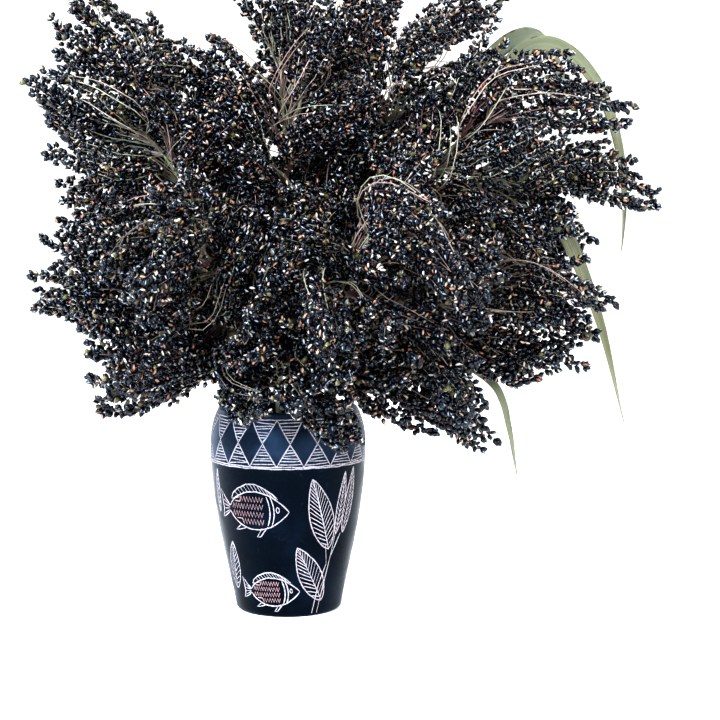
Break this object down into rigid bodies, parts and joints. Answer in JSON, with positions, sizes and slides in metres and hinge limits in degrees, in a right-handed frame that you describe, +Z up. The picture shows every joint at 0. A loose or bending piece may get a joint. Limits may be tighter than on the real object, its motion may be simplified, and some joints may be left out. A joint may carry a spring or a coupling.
{
  "type": "sorghum seed heads in a vase",
  "caption": "Arrangement of dried black sorghum seed heads with a few dry leaf blades, held upright by a carved dark stone vase that stands on a table.",
  "frame": {"origin": "centre of the vase's flat foot", "axes": "+Z up along the vase's axis, -Y towards the viewer of the picture, +X to the viewer's right"},
  "size_m": [0.4192, 0.4055, 0.4515],
  "materials": {
    "carved_stone": "satin",
    "seed_head": "satin",
    "dry_leaf": "matte"
  },
  "bodies": {
    "root": {"head_back": "seed_head", "head_back_left": "seed_head", "head_back_right": "seed_head", "head_front": "seed_head", "head_front_left": "seed_head", "head_front_right": "seed_head", "head_left": "seed_head", "head_low_left": "seed_head", "head_low_right": "seed_head", "head_right": "seed_head", "head_top_back": "seed_head", "head_top_centre": "seed_head", "head_top_left": "seed_head", "head_top_right": "seed_head", "head_upper_right": "seed_head", "leaf_arched": "dry_leaf", "leaf_back_left": "dry_leaf", "leaf_folded": "dry_leaf", "leaf_long": "dry_leaf", "leaf_narrow": "dry_leaf", "vase": "carved_stone"}
  },
  "joints": []
}
